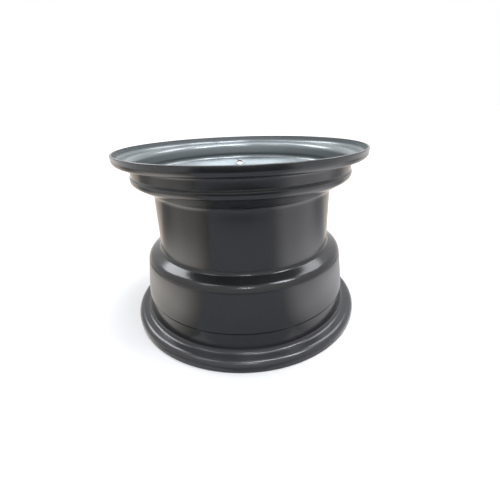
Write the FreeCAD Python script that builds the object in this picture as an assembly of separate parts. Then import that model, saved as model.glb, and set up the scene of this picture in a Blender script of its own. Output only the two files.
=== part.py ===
import FreeCAD, Part
import math
import os

# Steel wheel for a 12 inch turf tyre, standing on its inboard flange: +Z is the wheel's axis,
# outboard (the valve side) is up, and the origin is on the floor under the axis. Sizes in mm and degrees.

# tyre seat, common to both sides
rim_diameter = 304.0
rim_width = 215.6
flange_height = 18.7
flange_depth = 13.4
flange_radius = 7.9
bead_radius = 6.0
bead_taper = 5.0
sheet = 3.0
edge_radius = 1.2

# outboard side, from the flange down to the well
outboard_seat = 14.5
outboard_hump_run = 1.9
outboard_hump_rise = 1.6
outboard_hump_land = 7.0
hump_root_radius = 2.2
hump_crest_radius = 3.4
valve_wall_slope = 32.6
valve_wall_bend = 10.0
valve_wall_shoulder = 8.5

# drop-centre well
well_depth = 26.65
well_length = 81.3
well_shoulder_bend = 7.0

# inboard side, from the shoulder down to the flange
shoulder_slope = 26.0
shoulder_radius = 13.0
land_drop = 7.95
inboard_seat = 25.0
inboard_hump_run = 2.4
inboard_hump_rise = 1.1

# valve hole, pierced square to the sloping wall through a pressed flat; its station is measured up
# the wall from the well
valve_hole_diameter = 11.5
valve_flat_diameter = 16.0
valve_station = 13.5
valve_flat_depth = 0.5
valve_azimuth = 91.0

# pressed disc, its hub face looking inboard
disc_sheet = 4.5
disc_fit_clearance = 0.05
skirt_length = 26.0
skirt_drop = 14.0
hub_face_diameter = 172.0
dish_depth = 24.0
dish_wall_slope = 55.0
skirt_bend = 7.0
dish_bend = 9.0
hub_bore_diameter = 81.0
bolt_circle = 114.3
bolt_count = 5
bolt_hole_diameter = 15.0
nut_seat_angle = 60.0
nut_seat_diameter = 19.0

# stitch welds under the skirt
weld_leg = 4.0
weld_throat = 3.4
weld_count = 6
weld_arc = 30.0


def rounded_face(corners):
    """Face in the XZ half plane: a closed polygon of (r, z, corner radius), each corner a tangent arc."""
    edges = []
    count = len(corners)
    starts = []
    ends = []
    middles = []
    for index in range(count):
        r, z, radius = corners[index]
        here = FreeCAD.Vector(r, 0, z)
        before = FreeCAD.Vector(corners[index - 1][0], 0, corners[index - 1][1])
        after = FreeCAD.Vector(corners[(index + 1) % count][0], 0, corners[(index + 1) % count][1])
        back = (before - here).normalize()
        ahead = (after - here).normalize()
        half = back.getAngle(ahead) / 2
        if radius <= 0 or half > math.pi / 2 - 1e-6:
            starts.append(here)
            ends.append(here)
            middles.append(None)
            continue
        run = radius / math.tan(half)
        bisector = (back + ahead).normalize()
        starts.append(here + back * run)
        ends.append(here + ahead * run)
        middles.append(here + bisector * (radius / math.sin(half) - radius))
    for index in range(count):
        if middles[index] is not None:
            edges.append(Part.Arc(starts[index], middles[index], ends[index]).toShape())
        following = starts[(index + 1) % count]
        if ends[index].distanceToPoint(following) > 1e-6:
            edges.append(Part.LineSegment(ends[index], following).toShape())
    return Part.Face(Part.Wire(edges))


def parallel(path, distance):
    """The same path moved sideways, to the right of its direction, with every bend kept concentric."""
    moved = []
    last = len(path) - 1
    normals = []
    for index in range(last):
        dr = path[index + 1][0] - path[index][0]
        dz = path[index + 1][1] - path[index][1]
        length = math.hypot(dr, dz)
        normals.append((dz / length, -dr / length))
    for index in range(last + 1):
        r, z, radius = path[index]
        a = normals[max(0, index - 1)]
        b = normals[min(last - 1, index)]
        scale = distance / (1 + a[0] * b[0] + a[1] * b[1])
        turn = a[0] * b[1] - a[1] * b[0]
        if radius > 0:
            radius = radius + distance if turn > 0 else radius - distance
        moved.append((r + (a[0] + b[0]) * scale, z + (a[1] + b[1]) * scale, radius))
    return moved


def rolled_section(path, thickness, end_radius):
    """Closed section of a sheet of one thickness that follows the path, with rounded cut edges."""
    inner = parallel(path, thickness)
    outline = list(path) + list(reversed(inner))
    for index in (0, len(path) - 1, len(path), len(outline) - 1):
        outline[index] = (outline[index][0], outline[index][1], end_radius)
    return rounded_face(outline)


def turned(face, start=0.0, sweep=360.0):
    shape = face.revolve(FreeCAD.Vector(0, 0, 0), FreeCAD.Vector(0, 0, 1), sweep)
    if start:
        shape.rotate(FreeCAD.Vector(0, 0, 0), FreeCAD.Vector(0, 0, 1), start)
    return shape


# places that follow from the sizes
overall_width = rim_width + 2 * flange_depth
seat_radius = rim_diameter / 2
flange_tip_radius = seat_radius + flange_height
well_radius = seat_radius - well_depth
land_radius = seat_radius - land_drop
taper = math.tan(math.radians(bead_taper))
outboard_web = overall_width - flange_depth
inboard_web = flange_depth
outboard_seat_end = seat_radius - outboard_seat * taper
outboard_seat_z = outboard_web - outboard_seat
outboard_hump_radius = outboard_seat_end + outboard_hump_rise
outboard_hump_z = outboard_seat_z - outboard_hump_run
valve_wall_top = outboard_hump_z - outboard_hump_land
inboard_seat_end = seat_radius - inboard_seat * taper
inboard_seat_z = inboard_web + inboard_seat
valve_slope = math.radians(valve_wall_slope)
well_top = valve_wall_top - (outboard_hump_radius - well_radius) * math.tan(valve_slope)
well_bottom = well_top - well_length
shoulder_z = well_bottom - (land_radius - well_radius) * math.tan(math.radians(shoulder_slope))

# tyre-side line of the rim, from the outboard lip to the inboard lip
tyre_side = [
    (flange_tip_radius, overall_width, 0),
    (flange_tip_radius, outboard_web, flange_radius),
    (seat_radius, outboard_web, bead_radius),
    (outboard_seat_end, outboard_seat_z, hump_root_radius),
    (outboard_hump_radius, outboard_hump_z, hump_crest_radius),
    (outboard_hump_radius, valve_wall_top, valve_wall_shoulder),
    (well_radius, well_top, valve_wall_bend),
    (well_radius, well_bottom, well_shoulder_bend),
    (land_radius, shoulder_z, shoulder_radius),
    (inboard_seat_end + inboard_hump_rise, inboard_seat_z + inboard_hump_run, hump_crest_radius),
    (inboard_seat_end, inboard_seat_z, hump_root_radius),
    (seat_radius, inboard_web, bead_radius),
    (flange_tip_radius, inboard_web, flange_radius),
    (flange_tip_radius, 0, 0),
]
rim = turned(rolled_section(tyre_side, sheet, edge_radius))

# pressed flat on the sloping wall, then the valve hole through its middle
valve_radius = well_radius + valve_station * math.cos(valve_slope)
valve_z = well_top + valve_station * math.sin(valve_slope)
turn_angle = math.radians(valve_azimuth)
outwards = FreeCAD.Vector(math.cos(turn_angle), math.sin(turn_angle), 0)
upwards = FreeCAD.Vector(0, 0, 1)
valve_axis = outwards * math.sin(valve_slope) - upwards * math.cos(valve_slope)
valve_point = outwards * valve_radius + upwards * valve_z
flat_floor = valve_point - valve_axis * valve_flat_depth
pocket = Part.makeCylinder(valve_flat_diameter / 2, sheet, flat_floor, valve_axis)
pad_reach = valve_flat_depth + sheet
pad = Part.makeCylinder(valve_flat_diameter / 2, sheet, valve_point - valve_axis * pad_reach, valve_axis)
drill_start = valve_point - valve_axis * 3 * sheet
valve_hole = Part.makeCylinder(valve_hole_diameter / 2, 4 * sheet, drill_start, valve_axis)
rim = rim.cut(pocket).fuse(pad).cut(valve_hole).removeSplitter()

# pressed disc: skirt down the well, crown, dish wall, hub face and pierced centre bore
skirt_radius = well_radius - sheet - disc_fit_clearance
crown_z = well_bottom + skirt_drop + skirt_length
hub_z = crown_z - dish_depth
dish_top_radius = hub_face_diameter / 2 + dish_depth / math.tan(math.radians(dish_wall_slope))
bore_radius = hub_bore_diameter / 2
disc_side = [
    (skirt_radius, crown_z - skirt_length, 0),
    (skirt_radius, crown_z, skirt_bend),
    (dish_top_radius, crown_z, dish_bend),
    (hub_face_diameter / 2, hub_z, dish_bend),
    (bore_radius, hub_z, 0),
]
disc = turned(rolled_section(disc_side, -disc_sheet, 0))
bolt_radius = bolt_hole_diameter / 2
nut_seat_radius = nut_seat_diameter / 2
nut_seat_depth = (nut_seat_radius - bolt_radius) / math.tan(math.radians(nut_seat_angle / 2))
hub_underside = hub_z - disc_sheet
for index in range(bolt_count):
    angle = 2 * math.pi * index / bolt_count
    x = bolt_circle / 2 * math.cos(angle)
    y = bolt_circle / 2 * math.sin(angle)
    hole = Part.makeCylinder(bolt_radius, 3 * disc_sheet, FreeCAD.Vector(x, y, hub_underside - disc_sheet))
    seat_base = FreeCAD.Vector(x, y, hub_z - nut_seat_depth)
    nut_seat = Part.makeCone(bolt_radius, nut_seat_radius, nut_seat_depth, seat_base)
    disc = disc.cut(hole).cut(nut_seat)

# stitch welds in the corner between the skirt's lower edge and the well
skirt_end = crown_z - skirt_length
well_inside = well_radius - sheet
corner = FreeCAD.Vector(well_inside, 0, skirt_end)
skirt_toe = FreeCAD.Vector(well_inside - weld_leg, 0, skirt_end)
well_toe = FreeCAD.Vector(well_inside, 0, skirt_end - weld_leg)
bead_crown = corner - FreeCAD.Vector(1, 0, 1).normalize() * weld_throat
bead = Part.Face(Part.Wire([
    Part.LineSegment(corner, skirt_toe).toShape(),
    Part.Arc(skirt_toe, bead_crown, well_toe).toShape(),
    Part.LineSegment(well_toe, corner).toShape(),
]))
welds = []
for index in range(weld_count):
    welds.append(turned(bead, 360.0 * index / weld_count, weld_arc))

os.makedirs("parts", exist_ok=True)
rim.exportStep("parts/rim.step")
disc.exportStep("parts/wheel_disc.step")
Part.makeCompound(welds).exportStep("parts/disc_welds.step")
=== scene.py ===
import bpy, bmesh, math
from mathutils import Matrix, Vector


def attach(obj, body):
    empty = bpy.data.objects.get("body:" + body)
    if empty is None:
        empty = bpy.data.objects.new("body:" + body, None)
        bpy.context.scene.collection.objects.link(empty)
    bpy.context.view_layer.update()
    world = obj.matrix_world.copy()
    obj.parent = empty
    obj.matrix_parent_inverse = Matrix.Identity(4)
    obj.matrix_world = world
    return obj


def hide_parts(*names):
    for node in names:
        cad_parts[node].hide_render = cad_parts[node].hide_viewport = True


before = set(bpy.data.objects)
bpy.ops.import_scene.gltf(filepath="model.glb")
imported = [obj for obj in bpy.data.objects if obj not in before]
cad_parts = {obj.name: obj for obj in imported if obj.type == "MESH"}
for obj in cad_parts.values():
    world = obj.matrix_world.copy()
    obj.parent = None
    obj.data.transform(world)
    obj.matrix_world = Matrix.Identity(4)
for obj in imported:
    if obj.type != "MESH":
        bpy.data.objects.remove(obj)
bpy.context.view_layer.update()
scene = bpy.context.scene
mm = 0.001


def nodeGroup(name, inputs, outputs):
    group = bpy.data.node_groups.new(name, "ShaderNodeTree")
    for label, kind, value in inputs:
        socket = group.interface.new_socket(label, in_out="INPUT", socket_type=kind)
        socket.default_value = value
    for label, kind in outputs:
        group.interface.new_socket(label, in_out="OUTPUT", socket_type=kind)
    return group, group.nodes.new("NodeGroupInput"), group.nodes.new("NodeGroupOutput")


def addNode(tree, kind, **settings):
    node = tree.nodes.new(kind)
    for key, value in settings.items():
        if key in node.inputs:
            node.inputs[key].default_value = value
        else:
            setattr(node, key, value)
    return node


def rangeNode(tree, fromMin, fromMax, toMin=0.0, toMax=1.0, **settings):
    node = addNode(tree, "ShaderNodeMapRange", **settings)
    node.inputs["From Min"].default_value = fromMin
    node.inputs["From Max"].default_value = fromMax
    node.inputs["To Min"].default_value = toMin
    node.inputs["To Max"].default_value = toMax
    return node


def addPiece(name, work):  # a finished bmesh becomes an object at the origin
    mesh = bpy.data.meshes.new(name)
    work.to_mesh(mesh)
    work.free()
    piece = bpy.data.objects.new(name, mesh)
    scene.collection.objects.link(piece)
    return piece


print("stage: shared paint effects")
# orange peel, roll marks round the axis, cloudy gloss and settled dust, with a painted sheen on the lowest
# flange and painted light on faces that look up, all in object space
finishInputs = [
    ("Vector", "NodeSocketVector", (0, 0, 0)),
    ("Paint", "NodeSocketColor", (0.01, 0.01, 0.01, 1)),
    ("Gloss", "NodeSocketFloat", 0.2),
    ("Peel Scale", "NodeSocketFloat", 500.0),
    ("Roll", "NodeSocketFloat", 0.5),
    ("Dust", "NodeSocketFloat", 0.1),
    ("Scuff And Sheen", "NodeSocketFloat", 0.0),
    ("Painted Top Light", "NodeSocketFloat", 0.0),
]
finishOutputs = [
    ("Color", "NodeSocketColor"),
    ("Roughness", "NodeSocketFloat"),
    ("Height", "NodeSocketFloat"),
]
finish, finishIn, finishOut = nodeGroup("paintFinish", finishInputs, finishOutputs)
peel = addNode(finish, "ShaderNodeTexNoise", Detail=2.0, Roughness=0.5)
cloud = addNode(finish, "ShaderNodeTexNoise", Scale=22.0, Detail=3.0, Roughness=0.55)
speck = addNode(finish, "ShaderNodeTexNoise", Scale=900.0, Detail=1.0)
place = addNode(finish, "ShaderNodeSeparateXYZ")
across = addNode(finish, "ShaderNodeCombineXYZ")
radius = addNode(finish, "ShaderNodeVectorMath", operation="LENGTH")
alongSheet = addNode(finish, "ShaderNodeCombineXYZ")
# roll marks are the same all round the axis
rollMarks = addNode(finish, "ShaderNodeTexNoise", Scale=330.0, Detail=4.0, Roughness=0.6)
rollHeight = addNode(finish, "ShaderNodeMath", operation="MULTIPLY")
heightSum = addNode(finish, "ShaderNodeMath", operation="ADD")
speckRamp = rangeNode(finish, 0.68, 0.76)
facing = addNode(finish, "ShaderNodeNewGeometry")
facingSplit = addNode(finish, "ShaderNodeSeparateXYZ")
upRange = rangeNode(finish, 0.35, 1.0)  # dust lies on faces that look up; the painted top light uses the same mask
scuffAndSheenHeight = rangeNode(finish, 0.028, 0.014)  # handled and stood on, so the lowest flange is duller; its lighter colour there is a painted sheen
scuffAndLightCloud = rangeNode(finish, 0.3, 0.7, toMin=0.7)
scuffAndSheenShape = addNode(finish, "ShaderNodeMath", operation="MULTIPLY")
scuffAndSheenAmount = addNode(finish, "ShaderNodeMath", operation="MULTIPLY")
# painted sheen: the lowest flange is mixed towards a lighter violet grey, standing in for the overhead light
# it reflects
paintedFlangeSheenMix = addNode(finish, "ShaderNodeMix", data_type="RGBA")
paintedFlangeSheenMix.inputs["B"].default_value = (0.105, 0.102, 0.122, 1)
scuffDull = addNode(finish, "ShaderNodeMath", operation="MULTIPLY_ADD")
scuffDull.inputs[1].default_value = 0.1
# painted light: faces that look up are lifted towards pale grey in cloudy patches, standing in for the light
# that falls on them
paintedTopLightShape = addNode(finish, "ShaderNodeMath", operation="MULTIPLY")
paintedTopLightAmount = addNode(finish, "ShaderNodeMath", operation="MULTIPLY")
paintedTopLightMix = addNode(finish, "ShaderNodeMix", data_type="RGBA")
paintedTopLightMix.inputs["B"].default_value = (0.26, 0.265, 0.28, 1)
dustAmount = addNode(finish, "ShaderNodeMath", operation="MULTIPLY")
dustTotal = addNode(finish, "ShaderNodeMath", operation="MULTIPLY")
dustMix = addNode(finish, "ShaderNodeMix", data_type="RGBA")
dustMix.inputs["B"].default_value = (0.30, 0.29, 0.27, 1)
glossSpread = rangeNode(finish, 0.0, 1.0, -0.045, 0.045)
glossSum = addNode(finish, "ShaderNodeMath", operation="ADD")
roughSum = addNode(finish, "ShaderNodeMath", operation="ADD")
link = finish.links.new
link(finishIn.outputs["Vector"], peel.inputs["Vector"])
link(finishIn.outputs["Peel Scale"], peel.inputs["Scale"])
link(finishIn.outputs["Vector"], cloud.inputs["Vector"])
link(finishIn.outputs["Vector"], speck.inputs["Vector"])
link(speck.outputs["Fac"], speckRamp.inputs["Value"])
link(facing.outputs["Normal"], facingSplit.inputs["Vector"])
link(facingSplit.outputs["Z"], upRange.inputs["Value"])
link(speckRamp.outputs["Result"], dustAmount.inputs[0])
link(upRange.outputs["Result"], dustAmount.inputs[1])
link(dustAmount.outputs["Value"], dustTotal.inputs[0])
link(finishIn.outputs["Dust"], dustTotal.inputs[1])
link(dustTotal.outputs["Value"], dustMix.inputs["Factor"])
link(place.outputs["Z"], scuffAndSheenHeight.inputs["Value"])
link(cloud.outputs["Fac"], scuffAndLightCloud.inputs["Value"])
link(scuffAndSheenHeight.outputs["Result"], scuffAndSheenShape.inputs[0])
link(scuffAndLightCloud.outputs["Result"], scuffAndSheenShape.inputs[1])
link(scuffAndSheenShape.outputs["Value"], scuffAndSheenAmount.inputs[0])
link(finishIn.outputs["Scuff And Sheen"], scuffAndSheenAmount.inputs[1])
link(scuffAndSheenAmount.outputs["Value"], paintedFlangeSheenMix.inputs["Factor"])
link(finishIn.outputs["Paint"], paintedFlangeSheenMix.inputs["A"])
link(upRange.outputs["Result"], paintedTopLightShape.inputs[0])
link(scuffAndLightCloud.outputs["Result"], paintedTopLightShape.inputs[1])
link(paintedTopLightShape.outputs["Value"], paintedTopLightAmount.inputs[0])
link(finishIn.outputs["Painted Top Light"], paintedTopLightAmount.inputs[1])
link(paintedTopLightAmount.outputs["Value"], paintedTopLightMix.inputs["Factor"])
link(paintedFlangeSheenMix.outputs["Result"], paintedTopLightMix.inputs["A"])
link(paintedTopLightMix.outputs["Result"], dustMix.inputs["A"])
link(dustMix.outputs["Result"], finishOut.inputs["Color"])
link(cloud.outputs["Fac"], glossSpread.inputs["Value"])
link(glossSpread.outputs["Result"], glossSum.inputs[0])
link(finishIn.outputs["Gloss"], glossSum.inputs[1])
link(glossSum.outputs["Value"], roughSum.inputs[0])
link(dustTotal.outputs["Value"], roughSum.inputs[1])
link(scuffAndSheenAmount.outputs["Value"], scuffDull.inputs[0])
link(roughSum.outputs["Value"], scuffDull.inputs[2])
link(scuffDull.outputs["Value"], finishOut.inputs["Roughness"])
link(finishIn.outputs["Vector"], place.inputs["Vector"])
link(place.outputs["X"], across.inputs["X"])
link(place.outputs["Y"], across.inputs["Y"])
link(across.outputs["Vector"], radius.inputs[0])
link(radius.outputs["Value"], alongSheet.inputs["X"])
link(place.outputs["Z"], alongSheet.inputs["Z"])
link(alongSheet.outputs["Vector"], rollMarks.inputs["Vector"])
link(rollMarks.outputs["Fac"], rollHeight.inputs[0])
link(finishIn.outputs["Roll"], rollHeight.inputs[1])
link(peel.outputs["Fac"], heightSum.inputs[0])
link(rollHeight.outputs["Value"], heightSum.inputs[1])
link(heightSum.outputs["Value"], finishOut.inputs["Height"])


def paintMaterial(name, look):
    material = bpy.data.materials.new(name)
    material.use_nodes = True
    tree = material.node_tree
    shader = tree.nodes["Principled BSDF"]
    coords = tree.nodes.new("ShaderNodeTexCoord")
    group = tree.nodes.new("ShaderNodeGroup")
    group.node_tree = finish
    group.inputs["Paint"].default_value = look["paint"]
    group.inputs["Gloss"].default_value = look["gloss"]
    group.inputs["Peel Scale"].default_value = look["peelScale"]
    group.inputs["Roll"].default_value = look["roll"]
    group.inputs["Dust"].default_value = look["dust"]
    group.inputs["Scuff And Sheen"].default_value = look["scuffAndSheen"]
    group.inputs["Painted Top Light"].default_value = look["paintedTopLight"]
    bump = addNode(tree, "ShaderNodeBump", Strength=look["peel"], Distance=0.0002)
    tree.links.new(coords.outputs["Object"], group.inputs["Vector"])
    tree.links.new(group.outputs["Color"], shader.inputs["Base Color"])
    tree.links.new(group.outputs["Roughness"], shader.inputs["Roughness"])
    tree.links.new(group.outputs["Height"], bump.inputs["Height"])
    tree.links.new(bump.outputs["Normal"], shader.inputs["Normal"])
    shader.inputs["IOR"].default_value = look["ior"]
    shader.inputs["Metallic"].default_value = look["metal"]
    return material


print("stage: rim")
rimPiece = {
    "seatDiameter": 304.0, "rimWidth": 215.6, "flangeHeight": 18.7, "flangeDepth": 13.4, "flangeRadius": 7.9,
    "beadRadius": 6.0, "beadTaper": 5.0, "sheet": 3.0, "edge": 1.2,
    "seatOut": 14.5, "humpRun": 1.9, "humpRise": 1.6, "humpLand": 7.0, "humpRoot": 2.2, "humpCrest": 3.4,
    "wallSlope": 32.6, "wallBend": 10.0, "wallShoulder": 8.5,
    "wellDepth": 26.65, "wellLength": 81.3, "wellBend": 7.0,
    "shoulderSlope": 26.0, "shoulderRadius": 13.0, "landDrop": 7.95,
    "seatIn": 25.0, "lowHumpRun": 2.4, "lowHumpRise": 1.1,
    "valveDiameter": 11.5, "valveFlat": 16.0, "valveStation": 13.5, "valveDepth": 0.5, "valveAzimuth": 91.0,
    "flatFade": 0.35, "flatReach": 8.0, "drillLength": 14.0, "drillParts": 64,
    "piercedReach": 6.2, "piercedDepth": 6.0,
    "steps": 360, "arcStep": 7.0, "run": 6.0,
    "lipEdge": 240.8, "upperPart": 150.0, "lowerPart": 105.0, "lipFacing": 0.6, "smoothAngle": 40.0,
    "look": {
        "paint": (0.0140, 0.0145, 0.0162, 1), "metal": 0.0, "ior": 1.5, "gloss": 0.18,
        "peelScale": 420.0, "peel": 0.05, "roll": 0.8, "dust": 0.2, "scuffAndSheen": 0.13, "paintedTopLight": 0.11,
    },
    # painted reflection: the faces away from the tyre get a lighter grey, part-metal paint that stands in for
    # the bright light they reflect
    "inside": {
        "paint": (0.23, 0.255, 0.263, 1), "metal": 0.5, "ior": 1.5, "gloss": 0.24,
        "peelScale": 420.0, "peel": 0.06, "roll": 0.8, "dust": 0.3, "scuffAndSheen": 0.0, "paintedTopLight": 0.0,
    },
    "pierced": {
        "paint": (0.30, 0.14, 0.035, 1), "metal": 0.0, "ior": 1.4, "gloss": 0.6,
        "peelScale": 900.0, "peel": 0.4, "roll": 0.0, "dust": 0.0, "scuffAndSheen": 0.0, "paintedTopLight": 0.0,
    },
}


def roundedLoop(corners, arcStep, run):
    points = []
    count = len(corners)
    for index in range(count):
        radius = corners[index][2]
        here = Vector(corners[index][:2])
        back = (Vector(corners[index - 1][:2]) - here).normalized()
        ahead = (Vector(corners[(index + 1) % count][:2]) - here).normalized()
        half = back.angle(ahead) / 2
        if radius <= 0:
            points.append(here)
            continue
        start = here + back * radius / math.tan(half)
        centre = here + (back + ahead).normalized() * radius / math.sin(half)
        turn = math.pi - 2 * half
        side = 1 if back.x * ahead.y - back.y * ahead.x < 0 else -1
        parts = max(2, math.ceil(math.degrees(turn) / arcStep))
        for k in range(parts + 1):
            angle = side * turn * k / parts
            arm = start - centre
            points.append(centre + Vector((arm.x * math.cos(angle) - arm.y * math.sin(angle),
                                           arm.x * math.sin(angle) + arm.y * math.cos(angle))))
    dense = []
    for a, b in zip(points, points[1:] + points[:1]):
        parts = max(1, round((b - a).length / run))
        dense += [a.lerp(b, k / parts) for k in range(parts)]
    return dense


def parallelLine(path, distance):
    normals = []
    for a, b in zip(path, path[1:]):
        along = (Vector(b[:2]) - Vector(a[:2])).normalized()
        normals.append(Vector((along.y, -along.x)))
    moved = []
    for index, (r, z, radius) in enumerate(path):
        a = normals[max(0, index - 1)]
        b = normals[min(len(normals) - 1, index)]
        shift = (a + b) * distance / (1 + a.dot(b))
        if radius > 0:
            radius += distance if a.x * b.y - a.y * b.x > 0 else -distance
        moved.append((r + shift.x, z + shift.y, radius))
    return moved


def rimSection(p):
    seat = p["seatDiameter"] / 2
    tip = seat + p["flangeHeight"]
    width = p["rimWidth"] + 2 * p["flangeDepth"]
    webOut = width - p["flangeDepth"]
    taper = math.tan(math.radians(p["beadTaper"]))
    endOut = seat - p["seatOut"] * taper
    endIn = seat - p["seatIn"] * taper
    hump = endOut + p["humpRise"]
    humpZ = webOut - p["seatOut"] - p["humpRun"]
    wallTop = humpZ - p["humpLand"]
    well = seat - p["wellDepth"]
    slope = math.radians(p["wallSlope"])
    wellTop = wallTop - (hump - well) * math.tan(slope)
    wellBottom = wellTop - p["wellLength"]
    land = seat - p["landDrop"]
    line = [
        (tip, width, 0), (tip, webOut, p["flangeRadius"]), (seat, webOut, p["beadRadius"]),
        (endOut, webOut - p["seatOut"], p["humpRoot"]), (hump, humpZ, p["humpCrest"]),
        (hump, wallTop, p["wallShoulder"]), (well, wellTop, p["wallBend"]), (well, wellBottom, p["wellBend"]),
        (land, wellBottom - (land - well) * math.tan(math.radians(p["shoulderSlope"])), p["shoulderRadius"]),
        (endIn + p["lowHumpRise"], p["flangeDepth"] + p["seatIn"] + p["lowHumpRun"], p["humpCrest"]),
        (endIn, p["flangeDepth"] + p["seatIn"], p["humpRoot"]), (seat, p["flangeDepth"], p["beadRadius"]),
        (tip, p["flangeDepth"], p["flangeRadius"]), (tip, 0, 0),
    ]
    inside = parallelLine(line, p["sheet"])
    loop = line + inside[::-1]
    for index in (0, len(line) - 1, len(line), len(loop) - 1):
        loop[index] = (*loop[index][:2], p["edge"])
    valve = (well + p["valveStation"] * math.cos(slope), wellTop + p["valveStation"] * math.sin(slope), slope)
    return roundedLoop(loop, p["arcStep"], p["run"]), valve, Vector((well - p["sheet"], wellBottom))


section, valvePlace, wellFoot = rimSection(rimPiece)
work = bmesh.new()
ring = [work.verts.new((p.x * mm, 0, p.y * mm)) for p in section]
edges = [work.edges.new((a, b)) for a, b in zip(ring, ring[1:] + ring[:1])]
bmesh.ops.spin(work, geom=ring + edges, cent=(0, 0, 0), axis=(0, 0, 1), angle=2 * math.pi,
               steps=rimPiece["steps"], use_merge=True)
bmesh.ops.remove_doubles(work, verts=work.verts, dist=1e-6)
valveTurn = math.radians(rimPiece["valveAzimuth"])
valveOut = Vector((math.cos(valveTurn), math.sin(valveTurn), 0))
valveAxis = valveOut * math.sin(valvePlace[2]) - Vector((0, 0, math.cos(valvePlace[2])))
valvePoint = valveOut * valvePlace[0] * mm + Vector((0, 0, valvePlace[1] * mm))
flat = rimPiece["valveFlat"] / 2 * mm
for vert in work.verts:  # pressed flat round the valve hole
    away = vert.co - valvePoint
    depth = away.dot(valveAxis)
    reach = (away - valveAxis * depth).length
    fade = rimPiece["flatFade"]
    if reach < flat * (1 + fade) and abs(depth) < rimPiece["flatReach"] * mm:
        blend = 1 - min(1, max(0, reach / flat - 1) / fade)
        blend = blend * blend * (3 - 2 * blend)
        level = -rimPiece["valveDepth"]
        if depth <= -rimPiece["sheet"] / 2 * mm:
            level -= rimPiece["sheet"]
        vert.co += valveAxis * (level * mm - depth) * blend
bmesh.ops.recalc_face_normals(work, faces=work.faces)
rim = addPiece("rimShell", work)

work = bmesh.new()
turnTo = valveAxis.to_track_quat("Z", "Y").to_matrix().to_4x4()
drillRadius = rimPiece["valveDiameter"] / 2 * mm
bmesh.ops.create_cone(work, cap_ends=True, segments=rimPiece["drillParts"],
                      radius1=drillRadius, radius2=drillRadius, depth=rimPiece["drillLength"] * mm,
                      matrix=Matrix.Translation(valvePoint) @ turnTo)
drill = addPiece("drill", work)
drillMesh = drill.data
cut = rim.modifiers.new("valveHole", "BOOLEAN")
cut.operation = "DIFFERENCE"
cut.solver = "MANIFOLD"
cut.object = drill
rim.data = bpy.data.meshes.new_from_object(rim.evaluated_get(bpy.context.evaluated_depsgraph_get()))
rim.modifiers.clear()
bpy.data.objects.remove(drill)
bpy.data.meshes.remove(drillMesh)
rim.data.shade_smooth()
rim.data.set_sharp_from_angle(angle=math.radians(rimPiece["smoothAngle"]))
rim.data.materials.clear()
for label in ("look", "inside", "pierced"):
    rim.data.materials.append(paintMaterial("rim" + label.capitalize(), rimPiece[label]))
for face in rim.data.polygons:  # the axis side (its lighter paint is a painted reflection), the pierced edge and the tyre side differ
    away = face.center - valvePoint
    depth = away.dot(valveAxis)
    spread = (away - valveAxis * depth).length
    radial = Vector((face.center.x, face.center.y, 0)).normalized()
    upperLip = face.normal.z > rimPiece["lipFacing"] and face.center.z > rimPiece["upperPart"] * mm
    lowerLip = face.normal.z < -rimPiece["lipFacing"] and face.center.z < rimPiece["lowerPart"] * mm
    cutEdge = face.center.z > rimPiece["lipEdge"] * mm
    facingIn = face.normal.dot(radial) < -0.02 or upperLip or lowerLip
    face.material_index = 1 if facingIn and not cutEdge else 0
    nearHole = spread < rimPiece["piercedReach"] * mm and abs(depth) < rimPiece["piercedDepth"] * mm
    if nearHole and abs(face.normal.dot(valveAxis)) < 0.4:
        face.material_index = 2
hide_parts("rim")
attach(rim, "root")

print("stage: disc and welds")
discPiece = {
    "look": {"paint": (0.23, 0.255, 0.263, 1), "metal": 0.5, "ior": 1.5, "gloss": 0.28, "peelScale": 420.0,
             "peel": 0.07, "roll": 0.2, "dust": 0.5, "scuffAndSheen": 0.0, "paintedTopLight": 0.0},
}
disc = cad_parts["wheel_disc"]
disc.data.materials.clear()
disc.data.materials.append(paintMaterial("discPaint", discPiece["look"]))

weldPiece = {
    "count": 6, "arc": 30.0, "leg": 4.0, "throat": 3.4, "skirtDrop": 14.0,
    "pitch": 2.4, "ripple": 0.12, "bow": 2.2, "endTaper": 2.5, "endSize": 0.5, "steps": 156, "crownParts": 12,
    "smoothAngle": 45.0,
    "look": {"paint": (0.21, 0.23, 0.235, 1), "metal": 0.5, "ior": 1.5, "gloss": 0.32, "peelScale": 260.0,
             "peel": 0.3, "roll": 0.0, "dust": 0.4, "scuffAndSheen": 0.0, "paintedTopLight": 0.0},
}
weldCorner = wellFoot + Vector((0, weldPiece["skirtDrop"]))  # between the skirt's lower edge and the well
halfChord = weldPiece["leg"] / math.sqrt(2)
crownRise = weldPiece["throat"] - halfChord
crownRadius = (halfChord ** 2 + crownRise ** 2) / (2 * crownRise)
crownTurn = math.asin(halfChord / crownRadius)
intoCorner = Vector((1, 1)).normalized()
alongCrown = Vector((-1, 1)).normalized()
beadSection = [weldCorner]
for k in range(weldPiece["crownParts"] + 1):
    angle = crownTurn * (1 - 2 * k / weldPiece["crownParts"])
    depth = weldPiece["throat"] - crownRadius + crownRadius * math.cos(angle)
    beadSection.append(weldCorner - intoCorner * depth + alongCrown * crownRadius * math.sin(angle))
work = bmesh.new()
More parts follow.
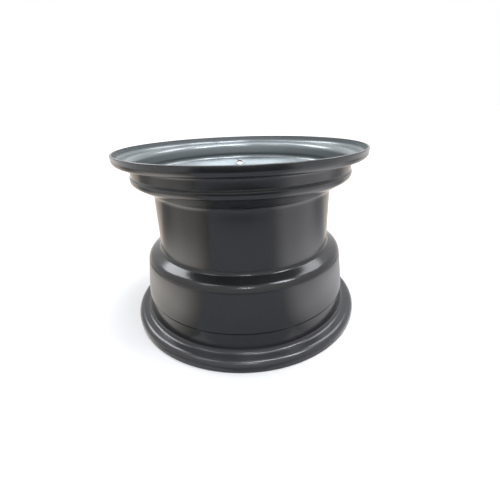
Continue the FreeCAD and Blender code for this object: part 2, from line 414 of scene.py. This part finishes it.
for index in range(weldPiece["count"]):
    start = 2 * math.pi * index / weldPiece["count"]
    place = Matrix.Rotation(start, 3, "Z")
    before = set(work.verts)
    ring = [work.verts.new(place @ Vector((p.x * mm, 0, p.y * mm))) for p in beadSection]
    edges = [work.edges.new((a, b)) for a, b in zip(ring, ring[1:] + ring[:1])]
    bmesh.ops.spin(work, geom=ring + edges, cent=(0, 0, 0), axis=(0, 0, 1),
                   angle=math.radians(weldPiece["arc"]), steps=weldPiece["steps"])
    length = math.radians(weldPiece["arc"]) * weldCorner.x
    for vert in set(work.verts) - before:  # ripples left by the torch, and ends that taper off
        flatPoint = place.inverted() @ vert.co
        done = math.atan2(flatPoint.y, flatPoint.x) * weldCorner.x
        reach = Vector((flatPoint.xy.length, flatPoint.z)) / mm - weldCorner
        side = reach.dot(alongCrown) / halfChord
        wave = 0.5 + 0.5 * math.cos(2 * math.pi * done / weldPiece["pitch"] + weldPiece["bow"] * side * side)
        end = min(1, max(0, min(done, length - done) / weldPiece["endTaper"]))
        endSize = weldPiece["endSize"] + (1 - weldPiece["endSize"]) * math.sqrt(1 - (1 - end) ** 2)
        spot = weldCorner + reach * (1 - weldPiece["ripple"] * wave) * endSize
        around = done / weldCorner.x
        vert.co = place @ Vector((spot.x * math.cos(around), spot.x * math.sin(around), spot.y)) * mm
bmesh.ops.holes_fill(work, edges=work.edges, sides=0)
bmesh.ops.recalc_face_normals(work, faces=work.faces)
welds = addPiece("weldBeads", work)
welds.data.shade_smooth()
welds.data.set_sharp_from_angle(angle=math.radians(weldPiece["smoothAngle"]))
welds.data.materials.append(paintMaterial("weldPaint", weldPiece["look"]))
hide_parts("disc_welds")
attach(welds, "root")

print("stage: floor and light")
floorPiece = {
    "size": 60.0, "color": (0.7, 0.7, 0.7, 1),
    "start": 0.5, "liftNear": 0.27, "liftFar": 0.88, "reach": 2.2,
}
bpy.ops.mesh.primitive_plane_add(size=floorPiece["size"], location=(0, 0, 0))
floor = bpy.context.object
floor.name = "floor"
floorPaint = bpy.data.materials.new("floorPaint")
floorPaint.use_nodes = True
floorTree = floorPaint.node_tree
floorShader = floorTree.nodes["Principled BSDF"]
floorShader.inputs["Base Color"].default_value = floorPiece["color"]
floorShader.inputs["Roughness"].default_value = 0.9
floorShader.inputs["Emission Color"].default_value = (1, 1, 1, 1)


def seenDirectly(tree, amount):  # camera, gloss and glass rays, scaled
    path = tree.nodes.new("ShaderNodeLightPath")
    pair = addNode(tree, "ShaderNodeMath", operation="ADD")
    total = addNode(tree, "ShaderNodeMath", operation="ADD", use_clamp=True)
    scaled = addNode(tree, "ShaderNodeMath", operation="MULTIPLY")
    tree.links.new(path.outputs["Is Camera Ray"], pair.inputs[0])
    tree.links.new(path.outputs["Is Glossy Ray"], pair.inputs[1])
    tree.links.new(pair.outputs["Value"], total.inputs[0])
    tree.links.new(path.outputs["Is Transmission Ray"], total.inputs[1])
    tree.links.new(total.outputs["Value"], scaled.inputs[0])
    scaled.inputs[1].default_value = amount
    return scaled.outputs["Value"]


floorCoords = floorTree.nodes.new("ShaderNodeTexCoord")
floorReach = addNode(floorTree, "ShaderNodeVectorMath", operation="LENGTH")
# white out to the horizon, where the lamps don't reach
floorLift = rangeNode(floorTree, floorPiece["start"], floorPiece["reach"],
                      floorPiece["liftNear"], floorPiece["liftFar"])
floorShown = addNode(floorTree, "ShaderNodeMath", operation="MULTIPLY")
floorTree.links.new(floorCoords.outputs["Object"], floorReach.inputs[0])
floorTree.links.new(floorReach.outputs["Value"], floorLift.inputs["Value"])
floorTree.links.new(floorLift.outputs["Result"], floorShown.inputs[0])
floorTree.links.new(seenDirectly(floorTree, 1.0), floorShown.inputs[1])
floorTree.links.new(floorShown.outputs["Value"], floorShader.inputs["Emission Strength"])
floor.data.materials.append(floorPaint)

worldPiece = {"light": 0.24, "shown": 1.0}
world = bpy.data.worlds.new("studio")
scene.world = world
world.use_nodes = True
worldTree = world.node_tree
background = worldTree.nodes["Background"]
background.inputs["Color"].default_value = (1, 1, 1, 1)
worldSum = addNode(worldTree, "ShaderNodeMath", operation="ADD")
worldSum.inputs[1].default_value = worldPiece["light"]
worldTree.links.new(seenDirectly(worldTree, worldPiece["shown"] - worldPiece["light"]), worldSum.inputs[0])
worldTree.links.new(worldSum.outputs["Value"], background.inputs["Strength"])

lampPieces = [
    {"name": "skyPanel", "at": (0.0, 0.75, 1.95), "to": (0, 0, 0.1),
     "size": (1.8, 0.4), "power": 11, "color": (0.88, 0.95, 1.0)},
    {"name": "topPanel", "at": (0.22, -0.3, 2.25), "to": (0.0, -0.1, 0.0),
     "size": (0.6, 0.5), "power": 18, "color": (0.90, 0.91, 1.0)},
    {"name": "leftPanel", "at": (-1.0, -0.45, 2.1), "to": (0.0, 0.0, 0.0),
     "size": (0.45, 0.8), "power": 4, "color": (0.95, 0.96, 1.0)},
    {"name": "rightPanel", "at": (1.05, -0.45, 2.1), "to": (0.0, 0.0, 0.0),
     "size": (0.45, 0.8), "power": 17, "color": (0.95, 0.96, 1.0)},
    {"name": "rightHigh", "at": (1.5, 0.95, 2.1), "to": (0.0, 0.0, 0.0),
     "size": (1.2, 1.0), "power": 20, "color": (0.95, 0.97, 1.0)},
    {"name": "leftHigh", "at": (-1.6, 1.25, 2.1), "to": (0.0, 0.0, 0.0),
     "size": (1.2, 1.2), "power": 34, "color": (0.95, 0.97, 1.0)},
    {"name": "frontLamp", "at": (0.0, -1.15, 1.5), "to": (0, 0, 0.1),
     "size": (0.3, 0.12), "power": 3, "color": (0.95, 0.96, 1.0)},
]
for piece in lampPieces:
    lamp = bpy.data.lights.new(piece["name"], "AREA")
    lamp.shape = "RECTANGLE"
    lamp.size, lamp.size_y = piece["size"]
    lamp.energy = piece["power"]
    lamp.color = piece["color"]
    lampObject = bpy.data.objects.new(piece["name"], lamp)
    lampObject.location = piece["at"]
    lampObject.rotation_euler = (Vector(piece["at"]) - Vector(piece["to"])).to_track_quat("Z", "Y").to_euler()
    scene.collection.objects.link(lampObject)

# cards on the floor that only the gloss shows: dark in front, bright and then warm on either side
cardPieces = [
    {"name": "frontCard", "level": 0.003, "color": (0.02, 0.02, 0.02, 1), "glow": 0.0,
     "turn": (24, 52), "far": 0.4, "back": 0.3,
     "corners": [(-0.62, -0.62), (0.62, -0.62), (1.6, -2.4), (-1.6, -2.4)]},
    {"name": "nearCard", "level": 0.004, "color": (0.56, 0.57, 0.6, 1), "glow": 0.0,
     "turn": (24, 52), "far": 0.4, "back": 0.3,
     "corners": [(-0.115, -0.17), (0.09, -0.17), (0.38, -0.63), (-0.5, -0.63)]},
    {"name": "leftCard", "level": 0.003, "color": (1.0, 0.96, 0.9, 1), "glow": 2.5,
     "turn": (30, 58), "far": 0.45, "back": 0.35,
     "corners": [(-0.085, -0.2), (-0.55, -0.95), (-1.3, 0.5), (-0.2, 0.12)]},
    {"name": "rightCard", "level": 0.003, "color": (0.97, 0.97, 1.0, 1), "glow": 2.4,
     "turn": (22, 50), "far": 0.75, "back": 0.35,
     "corners": [(0.085, -0.2), (0.2, 0.12), (1.3, 0.5), (0.55, -0.95)]},
    {"name": "leftWarm", "level": 0.003, "color": (1.0, 0.88, 0.74, 1), "glow": 1.1,
     "turn": (0, 1), "far": 1.0, "back": 1.0,
     "corners": [(-0.2, 0.12), (-1.3, 0.5), (-1.6, 1.8), (-0.24, 0.4)]},
    {"name": "rightWarm", "level": 0.003, "color": (1.0, 0.91, 0.82, 1), "glow": 1.1,
     "turn": (0, 1), "far": 1.0, "back": 1.0,
     "corners": [(0.2, 0.12), (0.24, 0.4), (1.6, 1.8), (1.3, 0.5)]},
]


# near the wheel the cards' glow fades down (near, nearLow): painted shadow, standing in for the wheel's
# contact shade on the floor
cardFade = {"far": (0.24, 0.55), "near": (0.27, 0.19), "nearLow": 0.6, "back": (-0.14, 0.12), "turnLow": 0.22}


def fadeBetween(tree, source, ends, low):
    fade = rangeNode(tree, ends[0], ends[1], 1.0, low, interpolation_type="SMOOTHSTEP")
    tree.links.new(source, fade.inputs["Value"])
    return fade.outputs["Result"]


def timesAll(tree, sources):  # multiplies the fades together
    total = sources[0]
    for source in sources[1:]:
        product = addNode(tree, "ShaderNodeMath", operation="MULTIPLY")
        tree.links.new(total, product.inputs[0])
        tree.links.new(source, product.inputs[1])
        total = product.outputs["Value"]
    return total


for piece in cardPieces:
    cardPaint = bpy.data.materials.new(piece["name"] + "Paint")
    cardPaint.use_nodes = True
    cardTree = cardPaint.node_tree
    cardShader = cardTree.nodes["Principled BSDF"]
    cardShader.inputs["Base Color"].default_value = (0, 0, 0, 1) if piece["glow"] else piece["color"]
    cardShader.inputs["Roughness"].default_value = 1.0
    cardShader.inputs["Emission Color"].default_value = piece["color"]
    cardCoords = cardTree.nodes.new("ShaderNodeTexCoord")
    cardPlace = addNode(cardTree, "ShaderNodeSeparateXYZ")
    cardReach = addNode(cardTree, "ShaderNodeVectorMath", operation="LENGTH")
    cardAhead = addNode(cardTree, "ShaderNodeMath", operation="MULTIPLY")
    cardAhead.inputs[1].default_value = -1.0
    cardSide = addNode(cardTree, "ShaderNodeMath", operation="ABSOLUTE")
    cardTurn = addNode(cardTree, "ShaderNodeMath", operation="ARCTAN2")
    cardGlow = addNode(cardTree, "ShaderNodeMath", operation="MULTIPLY")
    cardGlow.inputs[1].default_value = piece["glow"]
    cardTree.links.new(cardCoords.outputs["Object"], cardPlace.inputs["Vector"])
    cardTree.links.new(cardCoords.outputs["Object"], cardReach.inputs[0])
    cardTree.links.new(cardPlace.outputs["Y"], cardAhead.inputs[0])
    cardTree.links.new(cardPlace.outputs["X"], cardSide.inputs[0])
    cardTree.links.new(cardSide.outputs["Value"], cardTurn.inputs[0])
    cardTree.links.new(cardAhead.outputs["Value"], cardTurn.inputs[1])
    turnEnds = [math.radians(angle) for angle in reversed(piece["turn"])]
    fades = [
        fadeBetween(cardTree, cardReach.outputs["Value"], cardFade["far"], piece["far"]),
        fadeBetween(cardTree, cardReach.outputs["Value"], cardFade["near"], cardFade["nearLow"]),
        fadeBetween(cardTree, cardPlace.outputs["Y"], cardFade["back"], piece["back"]),
        fadeBetween(cardTree, cardTurn.outputs["Value"], turnEnds, cardFade["turnLow"]),
    ]
    cardTree.links.new(timesAll(cardTree, fades), cardGlow.inputs[0])
    cardTree.links.new(cardGlow.outputs["Value"], cardShader.inputs["Emission Strength"])
    work = bmesh.new()
    work.faces.new([work.verts.new((x, y, piece["level"])) for x, y in piece["corners"]])
    card = addPiece(piece["name"], work)
    card.data.materials.append(cardPaint)
    card.visible_camera = card.visible_diffuse = card.visible_shadow = False

print("stage: camera")
cameraPiece = {
    "at": (0.0, -0.43662, 0.28536), "focal": 299.84, "centreY": 231.78,
    "yaw": 1.269, "pitch": 21.757, "roll": -1.825,
    "sensor": 36.0, "frame": 500,
}
cameraData = bpy.data.cameras.new("camera")
cameraData.sensor_width = cameraPiece["sensor"]
cameraData.lens = cameraPiece["focal"] / cameraPiece["frame"] * cameraPiece["sensor"]
cameraData.shift_y = (cameraPiece["centreY"] - cameraPiece["frame"] / 2) / cameraPiece["frame"]
cameraData.clip_start = 0.01
camera = bpy.data.objects.new("camera", cameraData)
turn = (Matrix.Rotation(math.radians(-cameraPiece["yaw"]), 4, "Z")
        @ Matrix.Rotation(math.radians(90 - cameraPiece["pitch"]), 4, "X")
        @ Matrix.Rotation(math.radians(cameraPiece["roll"]), 4, "Z"))
camera.matrix_world = Matrix.Translation(cameraPiece["at"]) @ turn
scene.collection.objects.link(camera)
scene.camera = camera
scene.view_settings.view_transform = "Standard"
